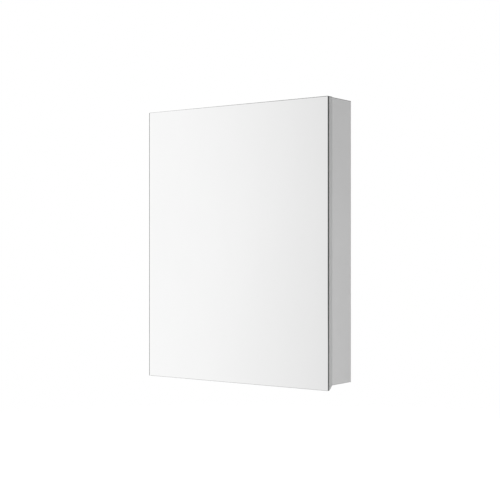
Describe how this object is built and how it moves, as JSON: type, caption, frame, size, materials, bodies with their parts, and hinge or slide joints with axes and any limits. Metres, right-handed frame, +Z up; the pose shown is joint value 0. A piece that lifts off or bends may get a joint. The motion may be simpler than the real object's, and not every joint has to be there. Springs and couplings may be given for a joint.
{
  "type": "medicine cabinet",
  "caption": "Wall-hung cabinet with a frameless mirror door on concealed hinges, a bevelled finger grip below the door and glass shelves inside.",
  "frame": {"origin": "on the wall plane at the back panel's outer face, at the middle of the body's width and height, which is the centre of the wall hole pattern", "axes": "+X to the right of someone facing the mirror, +Y into the wall, +Z up"},
  "size_m": [0.6, 0.1155, 0.75],
  "materials": {
    "body_lacquer": "satin silver-grey lacquer on fibreboard",
    "door_lacquer": "satin silver-grey lacquer on fibreboard",
    "mirror": "polished silvered float glass with ground edges",
    "shelf_glass": "clear float glass with polished edges",
    "tape": "dark foam mounting tape",
    "clear_plastic": "clear soft plastic",
    "nickel": "nickel-plated steel",
    "zinc": "zinc-plated steel",
    "beech": "bare beech",
    "cap_plastic": "silver-grey plastic"
  },
  "bodies": {
    "cabinet": {"side_panel_left": "body_lacquer", "side_panel_right": "body_lacquer", "top_panel": "body_lacquer", "bottom_panel": "body_lacquer", "back_panel": "body_lacquer", "dowels": "beech", "cam_locks": "zinc", "cam_bolts": "zinc", "cam_caps": "cap_plastic", "back_screws": "zinc", "shelf_lower": "shelf_glass", "shelf_middle": "shelf_glass", "shelf_upper": "shelf_glass", "shelf_pins": "nickel", "shelf_pads": "clear_plastic", "hinge_arms": "nickel", "arm_pins": "zinc", "arm_rivets": "zinc", "closing_springs": "zinc", "mounting_plates": "nickel", "plate_screws": "zinc", "clamp_screws": "zinc", "adjusting_screws": "zinc"},
    "door": {"door_board": "door_lacquer", "mirror_tape": "tape", "mirror_glass": "mirror", "door_bumpers": "clear_plastic", "hinge_cups": "nickel", "cup_screws": "nickel", "cup_pins": "zinc", "cup_rivets": "zinc"},
    "outer_links": {"outer_links": "nickel"},
    "inner_links": {"inner_links": "nickel"}
  },
  "joints": [
    {"name": "door_swing", "type": "hinge", "parent": "outer_links", "child": "door", "pos_m": [-0.2917, -0.097, 0], "axis": [0, 0, -1], "range_deg": [0, 143]},
    {"name": "outer_link_swing", "type": "hinge", "parent": "cabinet", "child": "outer_links", "pos_m": [-0.275, -0.0874, 0], "axis": [0, 0, 1], "range_deg": [0, 43.5]},
    {"name": "inner_link_swing", "type": "hinge", "parent": "door", "child": "inner_links", "pos_m": [-0.2907, -0.1029, 0], "axis": [0, 0, 1], "range_deg": [0, 110.5]}
  ],
  "couplings": [
    {"joint": "outer_link_swing", "follows": "door_swing", "ratio": 0.3007},
    {"joint": "inner_link_swing", "follows": "door_swing", "ratio": 0.76923}
  ]
}
